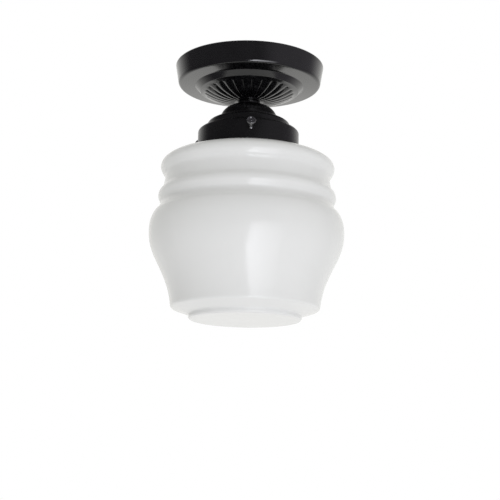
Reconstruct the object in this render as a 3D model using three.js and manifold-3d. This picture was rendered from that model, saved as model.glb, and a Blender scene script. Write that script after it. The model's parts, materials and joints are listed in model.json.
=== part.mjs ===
// Semi flush ceiling light: a fluted round canopy under the ceiling, a stepped fitter hung from it on a
// threaded nipple, three thumb screws that hold an opal glass shade, and a lampholder with its bulb inside.
// Millimetres, +Z up. The origin is on the light's axis in the ceiling plane, and everything hangs below it.
import * as THREE from "three";
import { mergeVertices } from "three/addons/utils/BufferGeometryUtils.js";
import Module from "manifold-3d";

const wasm = await Module();
wasm.setup();

// Fits that many pieces share
const seatGap = 0.3; // between a piece and what it rests on
const threadGap = 0.3; // round a screw or the nipple, whose threads are left off
const cutOverrun = 1; // how far a cutting tool runs past the face it cuts

// Ceiling hardware
const crossbarLength = 112;
const crossbarWidth = 22;
const crossbarThickness = 1.9;
const boxScrewSpacing = 88.9; // a round outlet box's two ears
const slotLength = 14;
const slotWidth = 5;
const boxScrewRadius = 2.05;
const boxScrewHeadRadius = 4;
const boxScrewHeadHeight = 2.5;
const boxScrewReach = 14; // above the ceiling plane, into the box
const groundScrewOffset = 20; // from the axis
const groundScrewReach = 3;

// Nipple and its nuts
const nippleRadius = 4.85;
const nippleBore = 3.3; // a radius, for the lead wires
const nippleReach = 5; // above the ceiling plane
const boltBore = nippleRadius + threadGap; // of the nuts, washers and sheets that the nipple passes through
const nutAcrossFlats = 15;
const nutThickness = 4;

// Canopy, one sheet of pressed steel
const canopySheet = 0.9;
const canopyRadius = 78.8; // at the rim
const rimRound = 1.3;
const rimFlange = 3; // turned inwards to lie on the ceiling
const wallHeight = 22.3; // from the ceiling to the bottom corner
const wallTaper = 3; // how much the wall draws in on its way down
const wallCorner = 3.6; // the radius of the bottom corner
const ringInnerRadius = 57.7; // inner edge of the flat ring
const ringDrop = 0.9; // how far the ring slopes down to it
const coveKneeRadius = 52.2; // where the cove turns from its cone to its narrow flat
const coveKneeDrop = 5.1;
const coveInnerRadius = 48.3;
const coveDrop = 6.1;
const bowlDepth = 10.6; // of the fluted bowl below the cove
const bowlFlatRadius = 14.5; // the plain seat round the nipple

// Flutes: convex lobes that run down the bowl to the neck
const fluteCount = 26;
const fluteHeight = 1.7; // from a groove's floor to a lobe's crest at the bowl's rim
const fluteTurn = -3; // degrees, of the lobe next to the front
const fluteStartShare = 0.06; // of the bowl's rim radius, over which a lobe rises from the cove

// Collar and fitter, a spun dome in three steps over a straight band
const collarRadius = 11.9;
const collarHeight = 3.6;
const fitterSheet = 1;
const domeRadius = 30.6;
const domeDrop = 16.7;
const domeLedge = 0.3;
const middleRadius = 43.5;
const middleDrop = 5.4; // of its round top
const middleWall = 4.7; // height of its straight side
const middleFlare = 1; // how much that side widens on its way down
const bandRadius = 53.3;
const shoulderDrop = 4.6;
const bandHeight = 19;

// Thumb screws
const thumbScrewCount = 3;
const thumbScrewTurn = 2.5; // degrees, of the first screw to the right of the front
const thumbScrewTilt = 28; // degrees, by which the heads are held up, clear of the glass's shoulder
const thumbScrewDrop = 7.6; // from the top of the band to where their axes cross it
const thumbShankRadius = 2;
const thumbNeckRadius = 3.1;
const thumbNeckLength = 5; // of the plain part behind the head
const thumbStandOff = 2.2; // along the axis, from the band to that part
const thumbHeadRadius = 4.8;
const thumbHeadThickness = 3;
const thumbDishDepth = 0.9;
const thumbDishRadius = 3.1;

// Glass shade
const glassWall = 3.4;
const shadeRadius = 101.6;
const shadeNeckRadius = 48.6;
const beadReach = 1.6; // of the rolled rim beyond the neck
const beadHeight = 4;
const lipHeight = 17.72; // from the top of the rim to the shoulder
const shadeBodyHeight = 164.5; // from the shoulder to the base corner
const baseCornerRadius = 2.2;
const baseSlopeDrop = 6.3;
const baseDiscRadius = 58.4;
const baseDiscHeight = 5.2;
const baseDiscRound = 1.9;

// Lampholder and bulb, the common screw size of 26 mm
const lockWasherRadius = 9.5;
const lockWasherThickness = 0.9;
const bridgeLength = 42;
const bridgeWidth = 13;
const bridgeThickness = 1.5;
const bridgeScrewOffset = 15.2;
const bridgeScrewRadius = 1.6;
const bridgeScrewHeadRadius = 3;
const bridgeScrewHeadHeight = 2;
const bridgeScrewReach = 8; // into the porcelain
const holderRadius = 19.5;
const holderCrown = 13; // from the top of the porcelain to the floor over the screw shell
const holderCavityDepth = 29;
const holderRound = 2;
const nutPocketRadius = 10.2;
const nutPocketDepth = 6.6;
const terminalPocketWidth = 9;
const terminalPocketHeight = 9;
const terminalPocketDepth = 3.6;
const terminalScrewRadius = 1.7;
const terminalHeadRadius = 3.3;
const terminalHeadHeight = 2;
const terminalScrewReach = 5;
const shellWall = 0.5;
const shellEyeRadius = 8.4; // of the hole in the shell's top
const shellLength = 25;
const contactWidth = 5;
const contactLength = 11;
const contactThickness = 0.6;
const contactDrop = 2.1; // how far the free end springs down to the bulb
const bulbThreadRadius = 13.1;
const bulbBaseWall = 0.4;
const bulbBaseLength = 21;
const bulbTipRadius = 4.6;
const bulbTipHeight = 1.6;
const insulatorHeight = 3;
const insulatorRadius = 9.6;
const bulbNeckInset = 6; // how deep the glass sits in its base
const bulbLength = 110;
const bulbRadius = 30;
const bulbWall = 0.9;

// Heights, from the ceiling down
const crossbarUnder = -crossbarThickness;
const ringTop = -wallHeight;
const ringInner = ringTop - ringDrop;
const bowlRim = ringInner - coveDrop;
const bowlUnder = bowlRim - bowlDepth;
const fitterTop = bowlUnder - seatGap - collarHeight - seatGap;
const domeBase = fitterTop - domeDrop;
const middleBase = domeBase - middleDrop;
const bandTop = middleBase - middleWall - shoulderDrop;
const bandUnder = bandTop - bandHeight;
const thumbScrewHeight = bandTop - thumbScrewDrop;
const washerTop = fitterTop - fitterSheet - seatGap;
const fitterNutTop = washerTop - lockWasherThickness - seatGap;
const bridgeTop = fitterNutTop - nutThickness - seatGap;
const bridgeUnder = bridgeTop - bridgeThickness;
const holderTop = bridgeUnder - seatGap;
const cavityTop = holderTop - holderCrown;
const holderUnder = cavityTop - holderCavityDepth;
const contactTop = cavityTop - seatGap;
const bulbTop = contactTop - contactThickness - contactDrop - seatGap;
const insulatorTop = bulbTop - bulbTipHeight - seatGap;
const bulbBaseTop = insulatorTop - insulatorHeight;
const bulbBaseUnder = bulbBaseTop - bulbBaseLength;
const bulbUnder = bulbTop - bulbLength;
const nippleUnder = bridgeUnder - seatGap - nutThickness - threadGap;
const tilt = THREE.MathUtils.degToRad(thumbScrewTilt);
const underBead = bandRadius - shadeNeckRadius - beadReach; // from the band in to the rolled rim
const shankTop = thumbScrewHeight - underBead * Math.tan(tilt) + thumbShankRadius / Math.cos(tilt);
const lipTop = shankTop + seatGap + beadHeight;
const shoulderTop = lipTop - lipHeight;
const baseCornerTop = shoulderTop - shadeBodyHeight;

// Curve steps
const roundSteps = 16; // round small pieces
const fitterSteps = 40;
const shadeSteps = 36;
const bulbSteps = 16;
const stepsPerFlute = 4;
const bowlSteps = 4;
const screwSteps = 8;
const screwHoleSteps = 12;

// The shade's outline from the shoulder to the base corner: across, as shares of the reach from the neck
// to the widest place, and down, as shares of the body's height. Two bulges, each over a groove, then
// the bell.
const shadeOutlineShares = [
  [0.036, 0.0],
  [0.309, 0.024],
  [0.575, 0.042],
  [0.703, 0.061],
  [0.78, 0.084],
  [0.804, 0.113],
  [0.771, 0.142],
  [0.721, 0.167],
  [0.717, 0.197],
  [0.752, 0.248],
  [0.821, 0.28],
  [0.838, 0.305],
  [0.814, 0.33],
  [0.788, 0.354],
  [0.83, 0.385],
  [0.925, 0.423],
  [0.985, 0.476],
  [1.0, 0.542],
  [0.975, 0.608],
  [0.902, 0.678],
  [0.759, 0.772],
  [0.635, 0.866],
  [0.568, 0.944],
  [0.5415, 1.0],
];

// The bulb's outline from its base to its round end: across, as shares of the reach from the base to the
// widest place, and down, as shares of the glass's height.
const bulbOutlineShares = [
  [0.0, 0.0],
  [0.08, 0.1],
  [0.3, 0.26],
  [0.68, 0.43],
  [0.93, 0.56],
  [1.0, 0.68],
];
const bulbOutlineSteps = 9;
const bulbEndSteps = 5;

// Profiles are drawn as points (distance from the axis, height)
const at = (r, z) => new THREE.Vector2(r, z);

// Points along an elliptical arc, angles in degrees from the outward direction
function arc(centreR, centreZ, reachR, reachZ, fromDeg, toDeg, steps) {
  const points = [];
  for (let i = 0; i <= steps; i++) {
    const angle = THREE.MathUtils.degToRad(fromDeg + ((toDeg - fromDeg) * i) / steps);
    points.push(at(centreR + reachR * Math.cos(angle), centreZ + reachZ * Math.sin(angle)));
  }
  return points;
}

// A smooth line through a few points
function smoothLine(points, steps) {
  const curve = new THREE.CatmullRomCurve3(
    points.map((p) => new THREE.Vector3(p.x, p.y, 0)),
    false,
    "centripetal",
  );
  return curve.getSpacedPoints(steps).map((p) => at(p.x, p.y));
}

// The direction square to a profile at one of its points
function squareTo(points, i) {
  const before = points[Math.max(i - 1, 0)];
  const after = points[Math.min(i + 1, points.length - 1)];
  const along = after.clone().sub(before).normalize();
  return at(along.y, -along.x);
}

// The same profile, moved sideways by a distance
function offsetLine(points, distance) {
  return points.map((p, i) => p.clone().add(squareTo(points, i).multiplyScalar(distance)));
}

// Only the vertices' places are kept, and shared, so that a surface is closed
function welded(geometry) {
  const bare = geometry.index ? geometry.toNonIndexed() : geometry.clone();
  bare.deleteAttribute("normal");
  bare.deleteAttribute("uv");
  return mergeVertices(bare, 1e-4);
}

// A closed profile turned about the Z axis
function revolve(profile, steps) {
  const facingOut = THREE.ShapeUtils.area(profile) > 0 ? profile : [...profile].reverse();
  return welded(new THREE.LatheGeometry(facingOut, steps).rotateX(Math.PI / 2));
}

// A profile that leaves a hole on the axis, so its end is joined to its start
const ringOf = (profile, steps) => revolve([...profile, profile[0]], steps);

// A flat shape given a thickness, with its top face at a height
function plate(shape, thickness, top) {
  const sheet = new THREE.ExtrudeGeometry(shape, { depth: thickness, bevelEnabled: false });
  return welded(sheet.translate(0, 0, top - thickness));
}

const roundHole = (x, y, radius) =>
  new THREE.Path(arc(x, y, radius, radius, 0, 360, roundSteps).slice(1));

// A straight slot or strap with round ends, centred at a place, lying along X
function stadiumLine(x, y, length, width) {
  const straight = (length - width) / 2;
  return [
    ...arc(x + straight, y, width / 2, width / 2, -90, 90, roundSteps / 4),
    ...arc(x - straight, y, width / 2, width / 2, 90, 270, roundSteps / 4),
  ];
}

// Solids for cutting and joining
function solidOf(geometry) {
  const closed = welded(geometry);
  const mesh = new wasm.Mesh({
    numProp: 3,
    vertProperties: new Float32Array(closed.attributes.position.array),
    triVerts: new Uint32Array(closed.index.array),
  });
  return new wasm.Manifold(mesh);
}

function geometryOf(solid) {
  const mesh = solid.getMesh();
  const geometry = new THREE.BufferGeometry();
  geometry.setAttribute("position", new THREE.BufferAttribute(mesh.vertProperties, 3));
  return geometry.setIndex(new THREE.BufferAttribute(mesh.triVerts, 1));
}

const cutFrom = (body, tools) =>
  geometryOf(tools.reduce((rest, tool) => rest.subtract(solidOf(tool)), solidOf(body)));

// A straight rod along Z, from its foot up
const rod = (radius, foot, length, steps = roundSteps) =>
  revolve([at(0, foot), at(radius, foot), at(radius, foot + length), at(0, foot + length)], steps);

const washer = (bore, radius, top, thickness) =>
  ringOf(
    [at(bore, top - thickness), at(radius, top - thickness), at(radius, top), at(bore, top)],
    roundSteps,
  );

function hexNut(top) {
  const corner = nutAcrossFlats / Math.sqrt(3);
  const outline = new THREE.Shape();
  for (let i = 0; i < 6; i++) {
    const angle = (i * Math.PI) / 3;
    outline[i ? "lineTo" : "moveTo"](corner * Math.cos(angle), corner * Math.sin(angle));
  }
  outline.holes.push(roundHole(0, 0, boltBore));
  return plate(outline, nutThickness, top);
}

// A pan head screw along Z with its head's seat at a height, its head below and its shank above
function hangingScrew(shankRadius, headRadius, headHeight, seat, reach) {
  const crown = headHeight / 2;
  const profile = [
    at(0, seat + reach),
    at(shankRadius, seat + reach),
    at(shankRadius, seat),
    at(headRadius, seat),
    at(headRadius, seat - crown),
    at(headRadius - crown, seat - headHeight),
    at(0, seat - headHeight),
  ];
  return revolve(profile, screwSteps);
}

const paint = (color, roughness, metalness) =>
  new THREE.MeshStandardMaterial({ color, roughness, metalness });
const blackPaint = () => paint(0x15151a, 0.22, 0.6);
const zincSteel = () => paint(0xb9bcc0, 0.35, 0.9);
const brightSteel = () => paint(0xd6d8da, 0.2, 1);
const brassMetal = () => paint(0xc9a24b, 0.3, 0.95);
const porcelain = () => paint(0xf1eee6, 0.25, 0);
const opalGlass = () => paint(0xe9ece8, 0.08, 0);
const frostedGlass = () => paint(0xf4f4f2, 0.5, 0);
const greenZinc = () => paint(0x3f7a4d, 0.4, 0.7);
const blackGlass = () => paint(0x101012, 0.15, 0);

const light = new THREE.Group();

function addPiece(name, geometry, material) {
  const piece = new THREE.Mesh(geometry, material);
  piece.name = name;
  light.add(piece);
  return piece;
}

// Crossbar: a slotted strap that the outlet box's screws hold up
function crossbar() {
  const outline = new THREE.Shape(stadiumLine(0, 0, crossbarLength, crossbarWidth));
  outline.holes.push(roundHole(0, 0, boltBore));
  outline.holes.push(roundHole(groundScrewOffset, 0, boxScrewRadius + threadGap));
  for (const side of [-1, 1]) {
    const centre = (side * boxScrewSpacing) / 2;
    outline.holes.push(new THREE.Path(stadiumLine(centre, 0, slotLength, slotWidth)));
  }
  return plate(outline, crossbarThickness, 0);
}

addPiece("crossbar", crossbar(), zincSteel());
for (const [name, side] of [["box_screw_left", -1], ["box_screw_right", 1]]) {
  const seat = crossbarUnder - seatGap;
  const screw = hangingScrew(
    boxScrewRadius, boxScrewHeadRadius, boxScrewHeadHeight, seat, boxScrewReach - seat,
  );
  addPiece(name, screw.translate((side * boxScrewSpacing) / 2, 0, 0), zincSteel());
}
const groundScrew = hangingScrew(
  boxScrewRadius, boxScrewHeadRadius, boxScrewHeadHeight,
  crossbarUnder - seatGap, groundScrewReach - crossbarUnder,
);
addPiece("ground_screw", groundScrew.translate(groundScrewOffset, 0, 0), greenZinc());

// Nipple: the hollow threaded tube that carries everything, with its four nuts
const nippleLength = nippleReach - nippleUnder;
addPiece("nipple", washer(nippleBore, nippleRadius, nippleReach, nippleLength), zincSteel());
const bowlInside = bowlUnder + canopySheet;
for (const [name, top] of [
  ["crossbar_nut", crossbarUnder - seatGap],
  ["canopy_nut", bowlInside + seatGap + nutThickness],
  ["fitter_nut", fitterNutTop],
  ["bridge_nut", bridgeUnder - seatGap],
])
  addPiece(name, hexNut(top), zincSteel());

// The bowl falls fastest at its rim and lies flat at the neck
function bowlLine() {
  const reach = coveInnerRadius - bowlFlatRadius;
  const fluteStart = (coveInnerRadius * fluteStartShare) / reach;
  const points = [at(coveInnerRadius, bowlRim)];
  for (let i = 0; i <= bowlSteps; i++) {
    const left = (1 - fluteStart) * (1 - i / bowlSteps);
    points.push(at(bowlFlatRadius + reach * left, bowlUnder + bowlDepth * left * left));
  }
  return points;
}

// Canopy: one profile with a sheet's thickness, whose grooves are pressed inwards between the bowl's lobes
function canopyLines() {
  const wallFootRadius = canopyRadius - wallTaper;
  const inWall = canopySheet + seatGap;
  const corner = arc(
    wallFootRadius - wallCorner, ringTop + wallCorner, wallCorner, wallCorner, 0, -76, 2,
  );
  return {
    outside: [
      at(canopyRadius - rimFlange, 0),
      at(canopyRadius - rimRound, 0),
      at(canopyRadius, -rimRound),
      ...corner,
      at(ringInnerRadius, ringInner),
      at(coveKneeRadius, ringInner - coveKneeDrop),
    ],
    bowl: bowlLine(),
    inside: [
      at(coveKneeRadius - canopySheet / 2, ringInner - coveKneeDrop + canopySheet),
      at(ringInnerRadius - canopySheet / 2, ringInner + canopySheet),
      at(wallFootRadius - wallCorner, ringTop + inWall),
      at(wallFootRadius - canopySheet, ringTop + wallCorner),
      at(canopyRadius - inWall, -canopySheet),
      at(canopyRadius - rimFlange, -canopySheet),
    ],
  };
}

// How far a groove sinks at a distance from the axis: it starts at the cove and shrinks towards the neck
function grooveDepth(r) {
  const start = Math.min((coveInnerRadius - r) / (coveInnerRadius * fluteStartShare), 1);
  const fall = (r - bowlFlatRadius) / (coveInnerRadius - bowlFlatRadius);
  return fluteHeight * Math.max(start, 0) * Math.sqrt(Math.max(fall, 0));
}

// A lobe's round section: 0 in the grooves, 1 on the crest
const lobeShare = (angle) => Math.sqrt(Math.abs(Math.sin((angle * fluteCount) / 2)));

// One row of the canopy's mesh: its place in the profile, and how a groove moves it
const canopyRow = (place, inward = at(0, 0), depth = 0) => ({ place, inward, depth });

function canopy() {
  const { outside, bowl, inside } = canopyLines();
  const inward = bowl.map((p, i) => squareTo(bowl, i));
  const lining = offsetLine(bowl, canopySheet);
  const bowlRow = (line, i) => canopyRow(line[i], inward[i], grooveDepth(bowl[i].x));
  const rows = [
    ...outside.map((p) => canopyRow(p)),
    ...bowl.map((p, i) => bowlRow(bowl, i)),
    canopyRow(at(boltBore, bowlUnder)),
    canopyRow(at(boltBore, bowlUnder + canopySheet)),
    ...lining.map((p, i) => bowlRow(lining, i)).reverse(),
    ...inside.map((p) => canopyRow(p)),
  ];
  const columns = fluteCount * stepsPerFlute;
  const places = [];
  const faces = [];
  for (let c = 0; c < columns; c++) {
    const angle = (2 * Math.PI * c) / columns;
    rows.forEach(({ place, inward, depth }, i) => {
      const sunk = inward.clone().multiplyScalar(depth * (1 - lobeShare(angle))).add(place);
      places.push(sunk.x * Math.cos(angle), sunk.x * Math.sin(angle), sunk.y);
      const below = (i + 1) % rows.length;
      const beside = ((c + 1) % columns) * rows.length;
      const here = c * rows.length;
      faces.push(here + i, beside + below, beside + i, here + i, here + below, beside + below);
    });
  }
  const geometry = new THREE.BufferGeometry();
  geometry.setAttribute("position", new THREE.Float32BufferAttribute(places, 3));
  return geometry.setIndex(faces);
}

// The lobe next to the front is turned to its place
const canopyTurn = -90 + fluteTurn + 180 / fluteCount;
addPiece("canopy", canopy(), blackPaint()).rotation.z = THREE.MathUtils.degToRad(canopyTurn);

// Collar between the canopy and the fitter: the light's narrow neck
const collar = washer(boltBore, collarRadius, bowlUnder - seatGap, collarHeight);
addPiece("neck_collar", collar, blackPaint());

// Fitter: a dome, a middle step and a shoulder, each a quarter round, over the straight band
function fitterLine(domeSteps, stepSteps) {
  const middleStart = domeRadius + domeLedge;
  const shoulderStart = middleRadius + middleFlare;
  return [
    at(boltBore, fitterTop),
    ...arc(collarRadius, domeBase, domeRadius - collarRadius, domeDrop, 90, 0, domeSteps),
    ...arc(middleStart, middleBase, middleRadius - middleStart, middleDrop, 90, 0, stepSteps),
    ...arc(shoulderStart, bandTop, bandRadius - shoulderStart, shoulderDrop, 90, 0, stepSteps),
    at(bandRadius, bandUnder),
  ];
}

const screwAngles = [];
for (let i = 0; i < thumbScrewCount; i++)
  screwAngles.push(THREE.MathUtils.degToRad(-90 + thumbScrewTurn + (i * 360) / thumbScrewCount));

// Turns something drawn along +Z to point outwards and up at a screw's place, its own zero on the band
const aimed = (geometry, angle) =>
  geometry
    .rotateY(Math.PI / 2 - tilt)
    .translate(bandRadius, 0, thumbScrewHeight)
    .rotateZ(angle);

function fitter() {
  const outer = fitterLine(5, 3);
  const inner = offsetLine(fitterLine(3, 2), fitterSheet);
  inner[0].x = outer[0].x;
  inner[inner.length - 1].y = bandUnder;
  const shell = ringOf([...outer, ...inner.reverse()], fitterSteps);
  const reach = fitterSheet + thumbShankRadius + cutOverrun;
  const holes = screwAngles.map((angle) =>
    aimed(rod(thumbShankRadius + threadGap, -reach, 2 * reach, screwSteps), angle),
  );
  return cutFrom(shell, holes);
}

addPiece("fitter", fitter(), blackPaint());

// Thumb screw: a round dished head on a neck, its point just clear of the glass under the rim
function thumbScrew() {
  const pointRadius = thumbShankRadius / 2;
  const pointCentre = shadeNeckRadius + seatGap + pointRadius * Math.sin(tilt);
  const tip = (pointCentre - bandRadius) / Math.cos(tilt);
  const headBack = thumbStandOff + thumbNeckLength;
  const headFace = headBack + thumbHeadThickness;
  const profile = [
    at(0, tip),
    at(pointRadius, tip),
    at(thumbShankRadius, tip + pointRadius),
    at(thumbShankRadius, thumbStandOff),
    at(thumbNeckRadius, thumbStandOff),
    at(thumbNeckRadius, headBack),
    at(thumbHeadRadius, headBack),
    at(thumbHeadRadius, headFace),
    at(thumbDishRadius, headFace),
    at(thumbDishRadius - thumbDishDepth, headFace - thumbDishDepth),
    at(0, headFace - thumbDishDepth),
  ];
  return revolve(profile, screwSteps);
}

screwAngles.forEach((angle, i) =>
  addPiece(`thumb_screw_${i + 1}`, aimed(thumbScrew(), angle), blackPaint()),
);

// Glass shade: a rolled rim and neck inside the fitter, the ribbed bell, and a round disc under its base
function shadeLine() {
  const reach = shadeRadius - shadeNeckRadius;
  const bell = shadeOutlineShares.map(([across, down]) =>
    at(shadeNeckRadius + across * reach, shoulderTop - down * shadeBodyHeight),
  );
  const cornerRadius = bell[bell.length - 1].x;
  const slopeFoot = baseCornerTop - baseCornerRadius - baseSlopeDrop;
  return {
    lip: [
      at(shadeNeckRadius, lipTop),
      ...arc(shadeNeckRadius, lipTop - beadHeight / 2, beadReach, beadHeight / 2, 60, -90, 3),
      at(shadeNeckRadius, shoulderTop + baseCornerRadius),
    ],
    bell,
    base: [
      ...arc(
        cornerRadius - baseCornerRadius, baseCornerTop, baseCornerRadius, baseCornerRadius, -30, -75, 2,
      ),
      at(baseDiscRadius, slopeFoot),
      at(baseDiscRadius, slopeFoot - baseDiscHeight + baseDiscRound),
      at(baseDiscRadius - baseDiscRound, slopeFoot - baseDiscHeight),
      at(0, slopeFoot - baseDiscHeight),
    ],
  };
}

function glassShade() {
  const { lip, bell, base } = shadeLine();
  const shoulderRadius = bell[0].x;
  const wall = offsetLine(bell, glassWall);
  const [slopeFoot, , , bottom] = base.slice(-4);
  const floor = bottom.y + glassWall;
  const inside = [
    at(lip[0].x - glassWall, lipTop),
    at(lip[0].x - glassWall, shoulderTop - glassWall + baseCornerRadius),
    ...wall.filter((p) => p.x > shoulderRadius),
    at(slopeFoot.x, slopeFoot.y + glassWall),
    at(slopeFoot.x - glassWall, floor),
    at(0, floor),
  ];
  return revolve([...inside.reverse(), ...lip, ...bell, ...base], shadeSteps);
}

addPiece("glass_shade", glassShade(), opalGlass());

// Lampholder: washer, bridge, porcelain body, brass shell and contact, and the screws that hold them
addPiece("lock_washer", washer(boltBore, lockWasherRadius, washerTop, lockWasherThickness), zincSteel());

function bridge() {
  const outline = new THREE.Shape(stadiumLine(0, 0, bridgeLength, bridgeWidth));
  outline.holes.push(roundHole(0, 0, boltBore));
  for (const side of [-1, 1])
    outline.holes.push(roundHole(side * bridgeScrewOffset, 0, bridgeScrewRadius + threadGap));
  return plate(outline, bridgeThickness, bridgeTop);
}

addPiece("socket_bridge", bridge(), zincSteel());

// Bridge screws point down into the porcelain
const bridgeScrew = (side) =>
  hangingScrew(
    bridgeScrewRadius,
    bridgeScrewHeadRadius,
    bridgeScrewHeadHeight,
    0,
    seatGap + bridgeThickness + seatGap + bridgeScrewReach,
  )
    .rotateX(Math.PI)
    .translate(side * bridgeScrewOffset, 0, bridgeTop + seatGap);
addPiece("socket_screw_left", bridgeScrew(-1), zincSteel());
addPiece("socket_screw_right", bridgeScrew(1), zincSteel());

const cavityRadius = bulbThreadRadius + threadGap + shellWall + seatGap;
const terminalHeight = holderTop - holderCrown / 2;
const terminalFloor = holderRadius - terminalPocketDepth;

function socketBody() {
  const body = revolve(
    [
      at(0, holderTop - nutPocketDepth),
      at(nutPocketRadius, holderTop - nutPocketDepth),
      at(nutPocketRadius, holderTop),
      ...arc(holderRadius - holderRound, holderTop - holderRound, holderRound, holderRound, 90, 0, 2),
      ...arc(holderRadius - holderRound, holderUnder + holderRound, holderRound, holderRound, 0, -90, 2),
      at(cavityRadius, holderUnder),
      at(cavityRadius, cavityTop),
      at(0, cavityTop),
    ],
    roundSteps,
  );
  const cuts = [];
  for (const side of [-1, 1]) {
    const hole = rod(
      bridgeScrewRadius + threadGap, -bridgeScrewReach, bridgeScrewReach + cutOverrun, screwHoleSteps,
    );
    cuts.push(hole.translate(side * bridgeScrewOffset, 0, holderTop - seatGap));
    const pocket = new THREE.BoxGeometry(
      terminalPocketWidth, terminalPocketDepth + cutOverrun, terminalPocketHeight,
    );
    cuts.push(
      pocket.translate(0, side * (terminalFloor + (terminalPocketDepth + cutOverrun) / 2), terminalHeight),
    );
    const tapped = rod(
      terminalScrewRadius + threadGap,
      terminalFloor - terminalScrewReach - seatGap,
      terminalScrewReach + seatGap + cutOverrun,
      screwHoleSteps,
    );
    cuts.push(tapped.rotateX((-side * Math.PI) / 2).translate(0, 0, terminalHeight));
  }
  return cutFrom(body, cuts);
}

addPiece("socket_body", socketBody(), porcelain());

// A terminal screw lies along Y in its pocket
function terminalScrew(side) {
  const seat = -(terminalFloor + seatGap);
  const screw = hangingScrew(
    terminalScrewRadius, terminalHeadRadius, terminalHeadHeight, seat, terminalScrewReach,
  );
  return screw.rotateX((side * Math.PI) / 2).translate(0, 0, terminalHeight);
}

addPiece("terminal_screw_hot", terminalScrew(1), brassMetal());
addPiece("terminal_screw_neutral", terminalScrew(-1), brightSteel());

// Screw shell: a thin cup that hangs in the cavity, open below for the bulb
const shellInner = bulbThreadRadius + threadGap;
addPiece(
  "screw_shell",
  ringOf(
    [
      at(shellEyeRadius, contactTop),
      at(shellInner + shellWall, contactTop),
      at(shellInner + shellWall, contactTop - shellLength),
      at(shellInner, contactTop - shellLength),
      at(shellInner, contactTop - shellWall),
      at(shellEyeRadius, contactTop - shellWall),
    ],
    roundSteps,
  ),
  brassMetal(),
);

// Centre contact: a strip flat against the cavity's top at one end, sprung down to the bulb at the other
function centreContact() {
  const half = contactLength / 2;
  const bend = contactLength / 4;
  const down = -contactDrop;
  const strip = new THREE.Shape();
  strip.moveTo(-half, 0);
  strip.lineTo(-bend, 0);
  strip.lineTo(0, down);
  strip.lineTo(half / 2, down);
  strip.lineTo(half / 2, down - contactThickness);
  strip.lineTo(-contactThickness / 2, down - contactThickness);
  strip.lineTo(-bend - contactThickness / 2, -contactThickness);
  strip.lineTo(-half, -contactThickness);
  const leaf = new THREE.ExtrudeGeometry(strip, { depth: contactWidth, bevelEnabled: false });
  return welded(leaf.translate(0, 0, -contactWidth / 2).rotateX(Math.PI / 2).translate(0, 0, contactTop));
}

addPiece("centre_contact", centreContact(), brassMetal());

// Bulb: tip, insulator, threaded base and a thin glass envelope that is open into its base
addPiece(
  "bulb_tip",
  revolve(
    [
      at(0, bulbTop - bulbTipHeight),
      at(bulbTipRadius, bulbTop - bulbTipHeight),
      ...arc(0, bulbTop - bulbTipHeight, bulbTipRadius, bulbTipHeight, 30, 90, 3),
    ],
    bulbSteps,
  ),
  zincSteel(),
);
addPiece(
  "bulb_insulator",
  revolve(
    [
      at(0, insulatorTop),
      at(bulbTipRadius, insulatorTop),
      at(insulatorRadius, bulbBaseTop),
      at(insulatorRadius, bulbBaseTop - bulbBaseWall),
      at(0, bulbBaseTop - bulbBaseWall),
    ],
    bulbSteps,
  ),
  blackGlass(),
);
const baseInner = bulbThreadRadius - bulbBaseWall;
addPiece(
  "bulb_base",
  ringOf(
    [
      at(insulatorRadius + seatGap, bulbBaseTop),
      at(bulbThreadRadius, bulbBaseTop - (bulbThreadRadius - insulatorRadius) / 2),
      at(bulbThreadRadius, bulbBaseUnder),
      at(baseInner, bulbBaseUnder),
      at(baseInner, bulbBaseTop - (bulbThreadRadius - insulatorRadius) / 2 - bulbBaseWall),
      at(insulatorRadius + seatGap, bulbBaseTop - bulbBaseWall),
    ],
    bulbSteps,
  ),
  brightSteel(),
);

function bulbEnvelope() {
  const neck = baseInner - seatGap;
  const neckTop = bulbBaseUnder + bulbNeckInset;
  const glassTop = bulbBaseUnder - seatGap;
  const swell = bulbRadius - bulbThreadRadius;
  const height = glassTop - bulbUnder;
  const marks = bulbOutlineShares.map(([across, down]) =>
    at(bulbThreadRadius + across * swell, glassTop - down * height),
  );
  const side = smoothLine(marks, bulbOutlineSteps);
  const widest = marks[marks.length - 1].y;
  const end = arc(0, widest, bulbRadius, widest - bulbUnder, 0, -90, bulbEndSteps).slice(1);
  const skin = [...side, ...end];
  const lining = offsetLine(skin, bulbWall);
  lining[0] = at(neck - bulbWall, glassTop);
  lining[lining.length - 1] = at(0, bulbUnder + bulbWall);
  return revolve(
    [...lining.reverse(), at(neck - bulbWall, neckTop), at(neck, neckTop), at(neck, glassTop), ...skin],
    bulbSteps,
  );
}

addPiece("bulb_envelope", bulbEnvelope(), frostedGlass());

export default light;
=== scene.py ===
import json
import math

import bpy
import numpy as np
from mathutils import Matrix, Vector


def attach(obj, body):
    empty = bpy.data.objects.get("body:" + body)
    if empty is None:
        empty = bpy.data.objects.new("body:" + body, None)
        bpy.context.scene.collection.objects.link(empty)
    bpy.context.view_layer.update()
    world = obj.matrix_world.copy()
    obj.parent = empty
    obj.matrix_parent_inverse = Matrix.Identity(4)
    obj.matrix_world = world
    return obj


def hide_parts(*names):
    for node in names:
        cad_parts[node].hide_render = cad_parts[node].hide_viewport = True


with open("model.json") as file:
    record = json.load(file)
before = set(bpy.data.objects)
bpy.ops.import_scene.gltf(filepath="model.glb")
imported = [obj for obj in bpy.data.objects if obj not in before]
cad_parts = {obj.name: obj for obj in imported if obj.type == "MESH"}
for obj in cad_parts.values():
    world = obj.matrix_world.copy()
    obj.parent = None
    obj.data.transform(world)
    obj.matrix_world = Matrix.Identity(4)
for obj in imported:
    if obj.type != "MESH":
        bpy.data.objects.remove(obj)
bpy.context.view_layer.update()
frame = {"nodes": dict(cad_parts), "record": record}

MM = 0.001
TAU = 2 * math.pi

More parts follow.
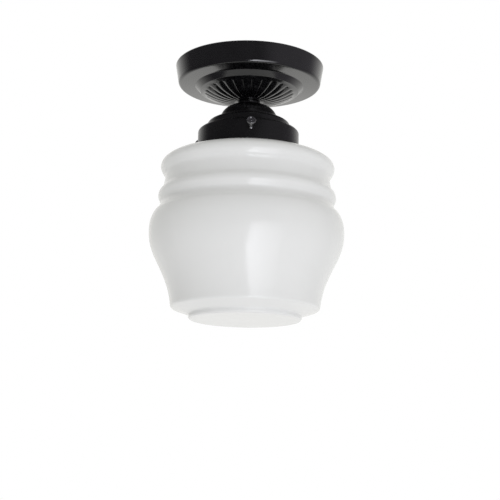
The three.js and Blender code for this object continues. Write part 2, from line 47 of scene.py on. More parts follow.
# Sizes in millimetres, as in the part's source
BOLT_BORE = 5.15
FLUTES = 26
FLUTE_HEIGHT = 1.7
FLUTE_START = 0.06
CANOPY_SHEET = 0.9
COVE_R = 48.3
KNEE_R = 52.2
KNEE_Z = -28.3
RING_R = 57.7
RING_Z = -23.2
BOWL_RIM = -29.3
BOWL_DEPTH = 10.6
BOWL_FLAT_R = 14.5
BOWL_UNDER = BOWL_RIM - BOWL_DEPTH
CANOPY_TURN = -90 - 3 + 180 / FLUTES
FITTER_TOP = -44.1
DOME_BASE = -60.8
MIDDLE_BASE = -66.2
BAND_TOP = -75.5
BAND_UNDER = -94.5
BAND_R = 53.3
SCREW_Z = -83.1
SCREW_ANGLES = (-87.5, 32.5, 152.5)
SCREW_TILT = 28
LIP_TOP = -78.18
SHOULDER = -95.9
SHADE_R = 101.6
SHADE_NECK_R = 48.6
SHADE_BODY = 164.5
GLASS = 3.4


# Meshes

def piece(name, verts, faces, material, sharp=40.0):
    """A mesh object in millimetres, shaded smooth but for edges over an angle."""
    mesh = bpy.data.meshes.new(name)
    points = (np.asarray(verts, float) * MM).tolist()
    mesh.from_pydata(points, [], [f for group in faces for f in group.tolist()])
    mesh.update()
    mesh.validate()
    mesh.polygons.foreach_set("use_smooth", [True] * len(mesh.polygons))
    mesh.set_sharp_from_angle(angle=math.radians(sharp))
    obj = bpy.data.objects.new(name, mesh)
    bpy.context.scene.collection.objects.link(obj)
    mesh.materials.append(material)
    return obj


def filleted(corners, steps=5):
    """A profile (r, z, radius): each corner that has a radius becomes an arc."""
    out = []
    n = len(corners)
    for i, (r, z, rad) in enumerate(corners):
        p = np.array([r, z], float)
        if rad <= 0 or i in (0, n - 1):
            out.append(p)
            continue
        a = np.array(corners[i - 1][:2], float) - p
        b = np.array(corners[i + 1][:2], float) - p
        la, lb = np.linalg.norm(a), np.linalg.norm(b)
        a, b = a / la, b / lb
        half = math.acos(max(-1, min(1, float(a @ b)))) / 2
        reach = min(rad / math.tan(half), 0.49 * la, 0.49 * lb)
        rad = reach * math.tan(half)
        middle = p + (a + b) / np.linalg.norm(a + b) * rad / math.sin(half)
        start, end = p + a * reach - middle, p + b * reach - middle
        turn = math.atan2(start[0] * end[1] - start[1] * end[0], float(start @ end))
        for k in range(steps + 1):
            t = turn * k / steps
            c, s = math.cos(t), math.sin(t)
            out.append(middle + np.array([c * start[0] - s * start[1], s * start[0] + c * start[1]]))
    return out


def spline(points, per=6):
    """A centripetal curve through points."""
    p = [np.asarray(q, float) for q in points]
    p = [2 * p[0] - p[1]] + p + [2 * p[-1] - p[-2]]
    out = []
    for i in range(1, len(p) - 2):
        p0, p1, p2, p3 = p[i - 1:i + 3]
        t0 = 0.0
        t1 = t0 + np.linalg.norm(p1 - p0) ** 0.5
        t2 = t1 + np.linalg.norm(p2 - p1) ** 0.5
        t3 = t2 + np.linalg.norm(p3 - p2) ** 0.5
        for k in range(per):
            t = t1 + (t2 - t1) * k / per
            a1 = (t1 - t) / (t1 - t0) * p0 + (t - t0) / (t1 - t0) * p1
            a2 = (t2 - t) / (t2 - t1) * p1 + (t - t1) / (t2 - t1) * p2
            a3 = (t3 - t) / (t3 - t2) * p2 + (t - t2) / (t3 - t2) * p3
            b1 = (t2 - t) / (t2 - t0) * a1 + (t - t0) / (t2 - t0) * a2
            b2 = (t3 - t) / (t3 - t1) * a2 + (t - t1) / (t3 - t1) * a3
            out.append((t2 - t) / (t2 - t1) * b1 + (t - t1) / (t2 - t1) * b2)
    out.append(p[-2])
    return out


def arc(cr, cz, rr, rz, a0, a1, steps):
    """Points on an ellipse about (cr, cz), from one angle in degrees to another."""
    return [
        np.array([cr + rr * math.cos(math.radians(a0 + (a1 - a0) * i / steps)),
                  cz + rz * math.sin(math.radians(a0 + (a1 - a0) * i / steps))])
        for i in range(steps + 1)
    ]


def grid_faces(rows, columns, loop_rows):
    """Quads between columns (closed round) and rows (closed where asked)."""
    i = np.arange(rows if loop_rows else rows - 1)[None, :]
    c = np.arange(columns)[:, None]
    j, d = (i + 1) % rows, (c + 1) % columns
    return np.stack([c * rows + i, d * rows + i, d * rows + j, c * rows + j], -1).reshape(-1, 4)


def facing_out(verts, faces):
    """Turns the faces round if the mesh is inside out."""
    volume = 0.0
    for group in faces:
        v = verts[group]
        for k in range(1, group.shape[1] - 1):
            volume += float(np.einsum("ij,ij->", v[:, 0], np.cross(v[:, k], v[:, k + 1])))
    return faces if volume > 0 else [group[:, ::-1] for group in faces]


def lathe(name, profile, material, steps=128, sharp=40.0, wave=None, place=None):
    """A profile turned about Z: closed where it starts and ends on the axis, else a ring."""
    pts = np.array(profile, float)
    on_axis = abs(pts[0][0]) < 1e-6 and abs(pts[-1][0]) < 1e-6
    body = pts[1:-1] if on_axis else pts
    n = len(body)
    t = np.linspace(0, TAU, steps, endpoint=False)[:, None]
    r, z = np.tile(body[:, 0], (steps, 1)), np.tile(body[:, 1], (steps, 1))
    if wave is not None:
        r = wave(r, z, t)
    verts = np.stack([r * np.cos(t), r * np.sin(t), z], -1).reshape(-1, 3)
    faces = [grid_faces(n, steps, not on_axis)]
    if on_axis:
        top = len(verts)
        verts = np.vstack([verts, [(0, 0, pts[0][1]), (0, 0, pts[-1][1])]])
        c = np.arange(steps)
        d = (c + 1) % steps
        faces.append(np.stack([np.full(steps, top), d * n, c * n], -1))
        faces.append(np.stack([np.full(steps, top + 1), c * n + n - 1, d * n + n - 1], -1))
    faces = facing_out(verts, faces)
    if place is not None:
        verts = verts @ np.array(place.to_3x3()).T + np.array(place.translation)
    return piece(name, verts, faces, material, sharp)


def threaded(radius, depth, pitch, low, high):
    """A wave for lathe(): a screw thread cut into what has about this radius."""
    def wave(r, z, t):
        ridge = np.abs(2 * ((z / pitch - t / TAU) % 1.0) - 1)
        fade = np.clip(np.minimum((z - low) / pitch, (high - z) / pitch), 0, 1)
        return np.where(np.abs(r - radius) > 0.6, r, r - depth * fade * (1 - ridge))
    return wave


def plate(name, outer, holes, low, high, material, bevel=0.25):
    """A flat plate with holes, from outlines in millimetres, its edges bevelled."""
    curve = bpy.data.curves.new(name, "CURVE")
    curve.dimensions = "2D"
    curve.fill_mode = "BOTH"
    for line in [outer] + list(holes):
        s = curve.splines.new("POLY")
        s.points.add(len(line) - 1)
        for q, (x, y) in zip(s.points, line):
            q.co = (x * MM, y * MM, 0, 1)
        s.use_cyclic_u = True
    curve.extrude = (high - low) / 2 * MM - bevel * MM
    curve.bevel_depth = bevel * MM
    curve.bevel_resolution = 2
    curve.offset = -bevel * MM
    temp = bpy.data.objects.new(name + "_curve", curve)
    bpy.context.scene.collection.objects.link(temp)
    bpy.context.view_layer.update()
    mesh = bpy.data.meshes.new_from_object(temp.evaluated_get(bpy.context.evaluated_depsgraph_get()))
    bpy.data.objects.remove(temp)
    bpy.data.curves.remove(curve)
    mesh.name = name
    mesh.transform(Matrix.Translation((0, 0, (low + high) / 2 * MM)))
    mesh.polygons.foreach_set("use_smooth", [True] * len(mesh.polygons))
    mesh.set_sharp_from_angle(angle=math.radians(40))
    mesh.materials.clear()
    mesh.materials.append(material)
    obj = bpy.data.objects.new(name, mesh)
    bpy.context.scene.collection.objects.link(obj)
    return obj


def ring_line(x, y, r, steps=48):
    return [(x + r * math.cos(TAU * k / steps), y + r * math.sin(TAU * k / steps)) for k in range(steps)]


def stadium(x, y, length, width, steps=20):
    s, r = (length - width) / 2, width / 2
    right = [(x + s + r * math.cos(-math.pi / 2 + math.pi * k / steps),
              y + r * math.sin(-math.pi / 2 + math.pi * k / steps)) for k in range(steps + 1)]
    left = [(x - s + r * math.cos(math.pi / 2 + math.pi * k / steps),
             y + r * math.sin(math.pi / 2 + math.pi * k / steps)) for k in range(steps + 1)]
    return right + left


def stand_for(obj, body, slot, *nodes):
    """Puts a finished piece on its body in place of CAD nodes."""
    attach(obj, body)
    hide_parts(*nodes)
    return obj


# Materials
NOISE_LOW, NOISE_HIGH = 0.3, 0.7  # most of a noise texture lies between these


def material(name, color, rough, rough_span, tone, scale, grain, bump, metallic=0.0, extra=None):
    """A shader whose colour, roughness and relief vary with noise in the object's own space."""
    m = bpy.data.materials.new(name)
    m.use_nodes = True
    n, l = m.node_tree.nodes, m.node_tree.links
    shader = n["Principled BSDF"]
    where = n.new("ShaderNodeTexCoord").outputs["Object"]
    cloud = n.new("ShaderNodeTexNoise")
    cloud.inputs["Scale"].default_value = scale
    cloud.inputs["Detail"].default_value = 5
    l.new(where, cloud.inputs["Vector"])
    shades = n.new("ShaderNodeValToRGB")
    darker, lighter = shades.color_ramp.elements
    darker.position, lighter.position = NOISE_LOW, NOISE_HIGH
    darker.color = tuple(c * (1 - tone) for c in color) + (1,)
    lighter.color = tuple(min(1, c * (1 + tone)) for c in color) + (1,)
    l.new(cloud.outputs["Fac"], shades.inputs["Fac"])
    l.new(shades.outputs["Color"], shader.inputs["Base Color"])
    spread = n.new("ShaderNodeMapRange")
    spread.inputs["From Min"].default_value = NOISE_LOW
    spread.inputs["From Max"].default_value = NOISE_HIGH
    spread.inputs["To Min"].default_value = rough - rough_span
    spread.inputs["To Max"].default_value = rough + rough_span
    l.new(cloud.outputs["Fac"], spread.inputs["Value"])
    l.new(spread.outputs["Result"], shader.inputs["Roughness"])
    fine = n.new("ShaderNodeTexNoise")
    fine.inputs["Scale"].default_value = grain
    fine.inputs["Detail"].default_value = 3
    l.new(where, fine.inputs["Vector"])
    relief = n.new("ShaderNodeBump")
    relief.inputs["Strength"].default_value = bump
    relief.inputs["Distance"].default_value = 0.0004
    l.new(fine.outputs["Fac"], relief.inputs["Height"])
    l.new(relief.outputs["Normal"], shader.inputs["Normal"])
    shader.inputs["Metallic"].default_value = metallic
    for key, value in (extra or {}).items():
        shader.inputs[key].default_value = value
    return m


BLACK = (0.004, 0.004, 0.0045)
paint = material("black_paint", BLACK, 0.14, 0.02, tone=0.2, scale=60, grain=900, bump=0.02,
                 extra={"IOR": 1.95})
satin = material("satin_black", BLACK, 0.27, 0.03, tone=0.2, scale=60, grain=900, bump=0.02,
                 extra={"IOR": 1.65})
steel = material("dark_steel", (0.40, 0.40, 0.41), 0.2, 0.04, tone=0.1, scale=200, grain=2500, bump=0.03,
                 metallic=1.0)
opal = material("opal_glass", (0.86, 0.862, 0.861), 0.15, 0.02, tone=0.008, scale=18, grain=120, bump=0.012)
zinc = material("zinc_steel", (0.55, 0.56, 0.58), 0.36, 0.08, tone=0.12, scale=140, grain=1500, bump=0.06,
                metallic=1.0)
green = material("green_zinc", (0.10, 0.34, 0.15), 0.34, 0.08, tone=0.15, scale=160, grain=1500, bump=0.05,
                 metallic=0.85)
nickel = material("bright_steel", (0.72, 0.72, 0.73), 0.16, 0.04, tone=0.05, scale=200, grain=2500,
                  bump=0.03, metallic=1.0)
brass = material("brass", (0.72, 0.50, 0.20), 0.28, 0.07, tone=0.1, scale=150, grain=1500, bump=0.04,
                 metallic=1.0)
frost = material("frosted_glass", (0.92, 0.92, 0.91), 0.5, 0.04, tone=0.01, scale=40, grain=2500, bump=0.08)
glaze = material("porcelain", (0.86, 0.84, 0.79), 0.2, 0.05, tone=0.02, scale=50, grain=300, bump=0.04,
                 extra={"Coat Weight": 0.5, "Coat Roughness": 0.08})
dark_glass = material("black_glass", (0.02, 0.02, 0.022), 0.14, 0.04, tone=0.2, scale=150, grain=1200,
                      bump=0.04)
FINISH = {
    "black_paint": paint, "opal_glass": opal, "zinc_steel": zinc, "green_zinc": green, "bright_steel": nickel,
    "brass": brass, "frosted_glass": frost, "porcelain": glaze, "black_glass": dark_glass,
}

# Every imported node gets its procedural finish
SLOT_OF = {s["node"]: s["material_slot"] for s in frame["record"]["subparts"]}
for name, node in frame["nodes"].items():
    finish = FINISH[SLOT_OF[name]]
    for slot in node.material_slots:
        slot.material = finish
    if not node.material_slots:
        node.data.materials.append(finish)


# Canopy: the same section as the part's, drawn fine, with convex flutes pressed into its bowl

def square_to(line, i):
    """The unit normal of a line of points at one of them."""
    d = line[min(i + 1, len(line) - 1)] - line[max(i - 1, 0)]
    d = d / np.linalg.norm(d)
    return np.array([d[1], -d[0]])


def offset(line, distance):
    return [p + square_to(line, i) * distance for i, p in enumerate(line)]


def groove_depth(r):
    """How far a groove is pressed in at this radius: it fades out at the bowl's rim and at its flat."""
    start = np.clip((COVE_R - r) / (COVE_R * FLUTE_START), 0, 1)
    fall = np.clip((r - BOWL_FLAT_R) / (COVE_R - BOWL_FLAT_R), 0, 1)
    return FLUTE_HEIGHT * start * start * (3 - 2 * start) * np.sqrt(fall)


def canopy():
    left = np.concatenate([np.linspace(1, 0.9, 12)[:-1], np.linspace(0.9, 0, 40)])
    width = COVE_R - BOWL_FLAT_R
    bowl = [np.array([BOWL_FLAT_R + width * s, BOWL_UNDER + BOWL_DEPTH * s * s]) for s in left]
    outside = filleted([
        (75.8, 0, 0), (77.5, 0, 0.25), (78.8, -1.3, 1.6), (75.8, -18.7, 0),
    ], 6)[:-1]
    outside += arc(72.2, -18.7, 3.6, 3.6, 0, -86.2, 14)
    outside += filleted([
        (71.4, -22.3, 0), (RING_R, RING_Z, 0.9), (KNEE_R, KNEE_Z, 1.3), (COVE_R, BOWL_RIM, 0),
    ], 7)[1:-1]
    inside = [
        (51.75, -27.4), (57.25, -22.3), (72.2, -21.1), (74.0, -20.4), (74.9, -18.7), (77.6, -0.9),
        (75.8, -0.9),
    ]
    inward = [square_to(bowl, i) for i in range(len(bowl))]
    lining = offset(bowl, CANOPY_SHEET)
    still = np.zeros(2)
    rows = [(p, still, 0) for p in outside]
    rows += [(p, inward[i], groove_depth(p[0])) for i, p in enumerate(bowl)]
    rows += [((BOLT_BORE, BOWL_UNDER), still, 0), ((BOLT_BORE, BOWL_UNDER + CANOPY_SHEET), still, 0)]
    rows += [(lining[i], inward[i], groove_depth(bowl[i][0])) for i in reversed(range(len(bowl)))]
    rows += [(p, still, 0) for p in inside]
    place = np.array([r[0] for r in rows], float)
    sink = np.array([np.asarray(r[1]) * r[2] for r in rows], float)
    # Every row is drawn once per column, sunk most in the grooves and not at all on the flutes' crests
    columns = FLUTES * 18
    t = np.linspace(0, TAU, columns, endpoint=False)
    sunk = 1 - np.sqrt(np.abs(np.sin(t * FLUTES / 2)))
    line = place[None] + sink[None] * sunk[:, None, None]
    a = (t + math.radians(CANOPY_TURN))[:, None]
    verts = np.stack([line[..., 0] * np.cos(a), line[..., 0] * np.sin(a), line[..., 1]], -1).reshape(-1, 3)
    faces = facing_out(verts, [grid_faces(len(rows), columns, True)])
    return piece("canopy_skin", verts, faces, paint, 50)


stand_for(canopy(), "fixture", "black_paint", "canopy")

# Collar and fitter
stand_for(
    lathe("collar_skin", filleted([
        (BOLT_BORE, -40.2, 0), (11.9, -40.2, 0.5), (11.9, -43.8, 0.5), (BOLT_BORE, -43.8, 0),
    ]), paint, 96),
    "fixture", "black_paint", "neck_collar")


def fitter_outline():
    line = [np.array([BOLT_BORE, FITTER_TOP])]
    line += arc(11.9, DOME_BASE, 18.7, 16.7, 90, 2, 30)
    line += filleted([(30.6, DOME_BASE + 0.6, 0), (30.6, DOME_BASE, 0.25), (31.6, DOME_BASE, 0)], 4)[1:-1]
    line += arc(30.9, MIDDLE_BASE, 12.6, 5.4, 88, 2, 22)
    line += filleted([
        (43.52, MIDDLE_BASE - 0.1, 0), (44.45, -70.9, 0.25), (45.4, -70.9, 0),
    ], 4)[:-1]
    line += arc(44.5, BAND_TOP, 8.8, 4.6, 88, 0, 20)
    return line


fitter_out = fitter_outline()
fitter_out += filleted([(BAND_R, -80, 0), (BAND_R, BAND_UNDER, 0.35), (52.3, BAND_UNDER, 0)], 4)[:-1]
fitter_in = [np.array([BOLT_BORE, FITTER_TOP - 1])] + arc(11.9, DOME_BASE, 17.7, 15.7, 90, 4, 18)
fitter_in += [np.array([29.6, -61.8])] + arc(30.6, MIDDLE_BASE, 11.9, 4.4, 88, 4, 12)
fitter_in += [np.array([43.5, -71.9])] + arc(44.3, BAND_TOP, 8.0, 3.6, 88, 0, 12)
fitter_in += [np.array([52.3, BAND_UNDER])]
stand_for(
    lathe("fitter_skin", fitter_out + fitter_in[::-1], satin, 160, 35),
    "fixture", "black_paint", "fitter")


# Glass shade: shares of its width past the neck and of its height below the shoulder
SHADE_SHARES = (
    (0.036, 0.0), (0.309, 0.024), (0.575, 0.042), (0.703, 0.061), (0.78, 0.084), (0.804, 0.113),
    (0.771, 0.142), (0.721, 0.167), (0.717, 0.197), (0.752, 0.248), (0.821, 0.28), (0.838, 0.305),
    (0.814, 0.33), (0.788, 0.354), (0.83, 0.385), (0.925, 0.423), (0.985, 0.476), (1.0, 0.542),
    (0.975, 0.608), (0.902, 0.678), (0.759, 0.772), (0.635, 0.866), (0.568, 0.944), (0.5415, 1.0),
)


def shade():
    bell = spline([
        (SHADE_NECK_R + a * (SHADE_R - SHADE_NECK_R), SHOULDER - d * SHADE_BODY) for a, d in SHADE_SHARES
    ], 7)
    bell = [np.array([min(p[0], SHADE_R), p[1]]) for p in bell]
    lip = [np.array([47.4, LIP_TOP])]
    lip += arc(SHADE_NECK_R, LIP_TOP - 2.0, 1.6, 2.0, 90, -80, 12)
    lip += filleted([
        (SHADE_NECK_R, -82, 0), (SHADE_NECK_R, SHOULDER + 0.4, 1.8), (52.6, SHOULDER - 0.6, 0),
    ], 6)[:-1]
    corner_r = bell[-1][0]
    z0 = SHOULDER - SHADE_BODY
    foot = z0 - 2.2 - 6.3
    under = foot - 5.2
    base = arc(corner_r - 3.0, z0 + 0.25, 3.0, 3.0, -8, -66, 8)
    base += filleted([
        (70.0, z0 - 4.6, 0), (58.4, foot, 2.4), (58.4, under, 3.4), (40, under, 0),
    ], 8)[1:]
    base += [np.array([20, under]), np.array([0, under])]
    wall = [p for p in offset(bell, GLASS) if p[0] > SHADE_NECK_R + 3]
    inner = [np.array([0, under + GLASS]), np.array([52, under + GLASS]), np.array([56, foot + 1.5]),
             np.array([60, foot + GLASS])]
    inner += [p for p in reversed(wall) if p[1] > foot + GLASS + 1]
    inner += [np.array(p) for p in (
        (47.0, SHOULDER - 2.4), (45.6, SHOULDER - 1.0), (45.2, SHOULDER + 1),
        (45.2, LIP_TOP - 1.0), (46.0, LIP_TOP - 0.15),
    )]
    profile = inner + lip + bell[1:] + base
    return lathe("shade_glass", profile, opal, 224, 60)


stand_for(shade(), "fixture", "opal_glass", "glass_shade")


# Thumb screws: knurled dished heads on short necks, held up at an angle
def thumb_screw(index, angle):
    shank_r, head_r = 2.0, 4.8
    thread_low, thread_high = -3.2, 1.9
    knurl_low, knurl_high, knurls, knurl_depth = 8.6, 9.7, 40, 0.16
    point = filleted([
        (0, -4.45, 0), (1.0, -4.45, 0.2), (shank_r, -3.45, 0.2), (shank_r, thread_low, 0),
    ], 3)[:-1]
    shank = [np.array([shank_r, thread_low + (thread_high - thread_low) * k / 60]) for k in range(61)]
    head = filleted([
        (shank_r, thread_high, 0), (shank_r, 2.2, 0.1), (3.1, 2.2, 0.4), (3.1, 7.9, 0.5), (head_r, 8.3, 0.4),
        (head_r, 10.2, 0.6), (3.75, 10.2, 0.35), (3.5, 9.1, 0.3), (0.9, 9.1, 0.2), (0.7, 9.45, 0.1),
        (0, 9.45, 0),
    ], 5)
    # More points down the middle of the rim, for its knurl
    rim = np.where(np.array([p[0] > head_r - 0.01 for p in head]))[0]
    cut = rim[len(rim) // 2 - 1] + 1
    head[cut:cut] = [np.array([head_r, 8.75 + 0.8 * k / 6]) for k in range(7)]
    screw_thread = threaded(shank_r, 0.28, 0.7, thread_low, thread_high)

    def wave(r, z, t):
        knurl = knurl_depth * (0.5 + 0.5 * np.cos(t * knurls)) ** 2
        on_rim = (r > head_r - 0.4) & (z > knurl_low) & (z < knurl_high)
        return np.where(on_rim, r - knurl, screw_thread(r, z, t))

    a, tilt = math.radians(angle), math.radians(SCREW_TILT)
    side = Vector((-math.sin(a), math.cos(a), 0))
    out = Vector((math.cos(a) * math.cos(tilt), math.sin(a) * math.cos(tilt), math.sin(tilt)))
    up = out.cross(side)
    place = Matrix.Translation((BAND_R * math.cos(a), BAND_R * math.sin(a), SCREW_Z)) @ Matrix((
        (side.x, up.x, out.x, 0), (side.y, up.y, out.y, 0), (side.z, up.z, out.z, 0), (0, 0, 0, 1)))
    return lathe(f"thumb_screw_skin_{index}", point + shank + head, steel, 160, 40, wave, place)


for index, (angle, body) in enumerate(
        zip(SCREW_ANGLES, ("thumb_screw_front", "thumb_screw_right", "thumb_screw_left")), 1):
    stand_for(thumb_screw(index, angle), body, "black_paint", f"thumb_screw_{index}")


# Ceiling hardware, seen from above
SLOT_X = 44.45
GROUND_X = 20.0
SEAT = -2.2
NIPPLE_R = 4.85
NIPPLE_BORE = 3.3
NIPPLE_LOW = -57.0
NIPPLE_HIGH = 5.0

stand_for(
    plate("crossbar_strap", stadium(0, 0, 112, 22), [
        ring_line(0, 0, BOLT_BORE), ring_line(GROUND_X, 0, 2.35), stadium(SLOT_X, 0, 14, 5),
        stadium(-SLOT_X, 0, 14, 5),
    ], -1.9, 0, zinc), "fixture", "zinc_steel", "crossbar")

nipple_rows = [np.array(p) for p in ((NIPPLE_BORE, NIPPLE_LOW + 0.2), (3.5, NIPPLE_LOW), (4.5, NIPPLE_LOW))]
nipple_rows += [np.array([NIPPLE_R, -56.6 + 61.2 * k / 300]) for k in range(301)]
nipple_rows += [np.array(p) for p in (
    (4.5, NIPPLE_HIGH), (3.5, NIPPLE_HIGH), (NIPPLE_BORE, NIPPLE_HIGH - 0.2),
)]
nipple_thread = threaded(NIPPLE_R, 0.45, 1.41, NIPPLE_LOW + 0.1, NIPPLE_HIGH - 0.1)
stand_for(
    lathe("nipple_tube", nipple_rows, zinc, 72, 70, nipple_thread),
    "fixture", "zinc_steel", "nipple")


def hex_nut(name, node, top):
    """A chamfered hexagon with a bore, its outline swept up in rings."""
    across, thick, steps = 15.0, 4.0, 96
    corner = 1.16  # how far a corner stands out past a flat
    rings = [(BOLT_BORE + 0.5, top - thick, 0), (0, top - thick, 0.9), (0, top - thick + 0.7, 0),
             (0, top - 0.7, 0), (0, top, 0.9), (BOLT_BORE + 0.5, top, 0), (BOLT_BORE, top - 0.5, 0),
             (BOLT_BORE, top - thick + 0.5, 0)]
    t = np.linspace(0, TAU, steps, endpoint=False)
    flat = across / 2 / np.cos(math.pi / 6 - np.abs((t + math.pi / 6) % (math.pi / 3) - math.pi / 6))
    reach = np.stack([np.full(steps, r) if r else np.minimum(flat, across / 2 + corner - cut)
                      for r, _, cut in rings], -1)
    z = np.tile([ring[1] for ring in rings], (steps, 1))
    verts = np.stack([reach * np.cos(t)[:, None], reach * np.sin(t)[:, None], z], -1).reshape(-1, 3)
    faces = facing_out(verts, [grid_faces(len(rings), steps, True)])
    stand_for(piece(name, verts, faces, zinc, 25), "fixture", "zinc_steel", node)


hex_nut("hex_nut_bar", "crossbar_nut", SEAT)
hex_nut("hex_nut_canopy", "canopy_nut", -34.7)
hex_nut("hex_nut_fitter", "fitter_nut", -46.6)
hex_nut("hex_nut_bridge", "bridge_nut", -52.7)


def pan_screw(node, finish, slot, x, tip):
    """A pan head screw along Z under the crossbar, its head below its seat and its thread above."""
    shank, head, height, pitch = 2.05, 4.0, 2.5, 0.8
    rows = [np.array([0, SEAT - height])]
    rows += arc(head - height * 0.75, SEAT - height * 0.25, height * 0.75, height * 0.75, -90, 0, 8)
    rows += [np.array([head, SEAT]), np.array([shank, SEAT])]
    n = int((tip - SEAT) / pitch * 6)
    rows += [np.array([shank, SEAT + 0.05 + (tip - SEAT - 0.55) * k / n]) for k in range(n + 1)]
    rows += [np.array([shank - 0.4, tip]), np.array([0, tip])]
    thread = threaded(shank, pitch * 0.35, pitch, SEAT + 0.3, tip - 0.2)
    skin = lathe(node + "_skin", rows, finish, 64, 50, thread, Matrix.Translation((x, 0, 0)))
    stand_for(skin, "fixture", slot, node)


pan_screw("box_screw_left", zinc, "zinc_steel", -SLOT_X, 14.0)
pan_screw("box_screw_right", zinc, "zinc_steel", SLOT_X, 14.0)
pan_screw("ground_screw", green, "green_zinc", GROUND_X, 2.69)


# Bulb: a smooth frosted envelope
def bulb_envelope():
    neck, top, low = 13.1, -95.2, -179.0
    shares = ((0.0, 0.0), (0.08, 0.1), (0.3, 0.26), (0.68, 0.43), (0.93, 0.56), (1.0, 0.68))
    side = spline([(neck + a * 16.9, top + d * (low - top)) for a, d in shares], 8)
    widest = side[-1][1]
    end = arc(0, widest, 30.0, widest - low, 0, -90, 20)[1:]
    skin = side + end
    skin[-1] = np.array([0, low])
    inner = offset(skin[:-1], 0.9) + [np.array([0, low + 0.9])]
    inner[0] = np.array([11.5, top])
    profile = inner[::-1] + [np.array([11.5, -89.0]), np.array([12.4, -89.0]), np.array([12.4, top])] + skin
    return lathe("bulb_glass", profile, frost, 96, 60)


stand_for(bulb_envelope(), "bulb", "frosted_glass", "bulb_envelope")


# Studio: a pale floor, one soft lamp and a white surround, in metres
def floor():
    half, level = 40.0, -2.4
    corners = [(-half, -half, level), (half, -half, level), (half, half, level), (-half, half, level)]
    mesh = bpy.data.meshes.new("floor")
    mesh.from_pydata(corners, [], [(0, 1, 2, 3)])
    obj = bpy.data.objects.new("floor", mesh)
    bpy.context.scene.collection.objects.link(obj)
    mesh.materials.append(material("floor_paint", (0.94, 0.942, 0.945), 0.8, 0.05, tone=0.01, scale=4,
                                   grain=200, bump=0.02))
    obj.visible_glossy = False


floor()

CENTRE = (0, 0, -0.15)


def lamp(name, azimuth, elevation, distance, size, radiance, across, upward):
    """A rectangular lamp aimed at the middle; azimuth 0 is the camera's side, positive to its right."""
    a, e = math.radians(azimuth), math.radians(elevation)
    toward = Vector((math.sin(a) * math.cos(e), -math.cos(a) * math.cos(e), math.sin(e)))
    data = bpy.data.lights.new(name, "AREA")
    data.shape = "RECTANGLE"
    data.size, data.size_y = size
    data.energy = radiance * math.pi * size[0] * size[1]
    data.color = (0.972, 0.98, 1.04)
    # Its level falls from the left edge to the right one, and from the bottom to the top
    data.use_nodes = True
    n, l = data.node_tree.nodes, data.node_tree.links
    place = n.new("ShaderNodeNewGeometry")
    parts = n.new("ShaderNodeSeparateXYZ")
    both = n.new("ShaderNodeMath")
    both.operation = "MULTIPLY"
    l.new(place.outputs["Parametric"], parts.inputs["Vector"])
    for axis, (start, end) in enumerate((across, upward)):
        fall = n.new("ShaderNodeMapRange")
        fall.inputs["To Min"].default_value = start
        fall.inputs["To Max"].default_value = end
        l.new(parts.outputs[axis], fall.inputs["Value"])
        l.new(fall.outputs["Result"], both.inputs[axis])
    l.new(both.outputs["Value"], n["Emission"].inputs["Strength"])
    obj = bpy.data.objects.new(name, data)
    obj.location = Vector(CENTRE) + toward * distance
    obj.rotation_euler = (-toward).to_track_quat("-Z", "Y").to_euler()
    bpy.context.scene.collection.objects.link(obj)


lamp("softbox", 24, -28, 2.0, (1.33, 1.68), 4.4, (1.0, 0.12), (1.0, 0.5))

# Levels and colours of the world's light
AMBIENT = 0.65
AMBIENT_SLOPE = (0.04, 0.225, 0.13)
AMBIENT_COLOR = (1, 1, 0.972)
ROOM = 0.075
ROOM_RIGHT = 0.2
ROOM_COLOR = (1, 0.95, 1.05)
SURROUND = 0.92
SURROUND_COLOR = (1, 0.995, 0.97)

world = bpy.data.worlds.new("studio")
bpy.context.scene.world = world
world.use_nodes = True
nodes, links = world.node_tree.nodes, world.node_tree.links
nodes.clear()


def background(color, strength):
    """Light of one colour, its strength a number or another node's output."""
    node = nodes.new("ShaderNodeBackground")
    node.inputs["Color"].default_value = (*color, 1)
    if isinstance(strength, float):
        node.inputs["Strength"].default_value = strength
    else:
        links.new(strength, node.inputs["Strength"])
    return node.outputs["Background"]


def mixed(share, first, second):
    node = nodes.new("ShaderNodeMixShader")
    links.new(share, node.inputs["Fac"])
    links.new(first, node.inputs[1])
    links.new(second, node.inputs[2])
    return node.outputs["Shader"]


def ramp(value, start, end, low, high):
    """A smooth step from one level to another where a value passes from start to end."""
    node = nodes.new("ShaderNodeMapRange")
    node.interpolation_type = "SMOOTHSTEP"
    for key, number in (("From Min", start), ("From Max", end), ("To Min", low), ("To Max", high)):
        node.inputs[key].default_value = number
    links.new(value, node.inputs["Value"])
    return node.outputs["Result"]


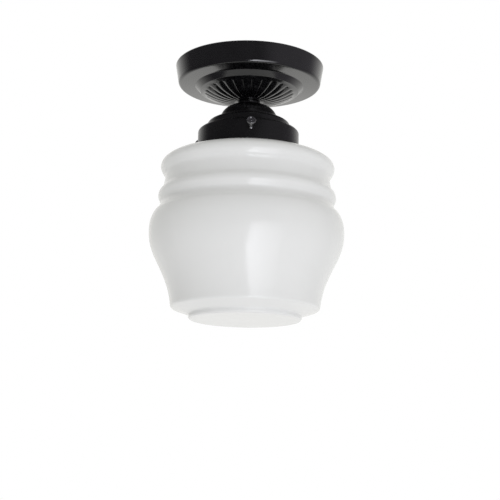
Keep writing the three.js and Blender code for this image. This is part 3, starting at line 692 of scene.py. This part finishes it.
direction = nodes.new("ShaderNodeTexCoord").outputs["Generated"]
parts = nodes.new("ShaderNodeSeparateXYZ")
links.new(direction, parts.inputs["Vector"])
rays = nodes.new("ShaderNodeLightPath").outputs
# Diffuse light comes from all round, more of it from behind and from above
slope = nodes.new("ShaderNodeVectorMath")
slope.operation = "DOT_PRODUCT"
slope.inputs[1].default_value = AMBIENT_SLOPE
links.new(direction, slope.inputs[0])
level = nodes.new("ShaderNodeMath")
level.operation = "ADD"
level.inputs[1].default_value = AMBIENT
links.new(slope.outputs["Value"], level.inputs[0])
ambient = background(AMBIENT_COLOR, level.outputs["Value"])
# Mirrored rays see the white surround behind the light and the darker room in front of it
room = background(ROOM_COLOR, ramp(parts.outputs["X"], 0.2, 0.75, ROOM, ROOM_RIGHT))
surround = background(SURROUND_COLOR, SURROUND)
mirrored = mixed(ramp(parts.outputs["Y"], 0.25, 0.95, 0.0, 1.0), room, surround)
# The camera and what shows through glass see plain white
seen = nodes.new("ShaderNodeMath")
seen.operation = "MAXIMUM"
links.new(rays["Is Camera Ray"], seen.inputs[0])
links.new(rays["Is Transmission Ray"], seen.inputs[1])
lit = mixed(rays["Is Glossy Ray"], ambient, mirrored)
out = nodes.new("ShaderNodeOutputWorld")
links.new(mixed(seen.outputs["Value"], lit, background((1, 1, 1), 1.0)), out.inputs["Surface"])

bpy.context.scene.view_settings.view_transform = "Standard"

# Camera, from the photograph's perspective
FOCAL_PX = 1189.1
PHOTO_PX = 500
SENSOR = 36
camera_data = bpy.data.cameras.new("camera")
camera_data.sensor_width = SENSOR
camera_data.lens = FOCAL_PX / PHOTO_PX * SENSOR
camera = bpy.data.objects.new("camera", camera_data)
bpy.context.scene.collection.objects.link(camera)
pitch, roll, yaw = math.radians(11.272), math.radians(1.086), math.radians(-0.189)
camera.matrix_world = (
    Matrix.Translation((0, -1.2125, -0.4419))
    @ Matrix.Rotation(yaw, 4, "Z")
    @ Matrix.Rotation(math.pi / 2 + pitch, 4, "X")
    @ Matrix.Rotation(roll, 4, "Z")
)
bpy.context.scene.camera = camera

bpy.context.view_layer.update()
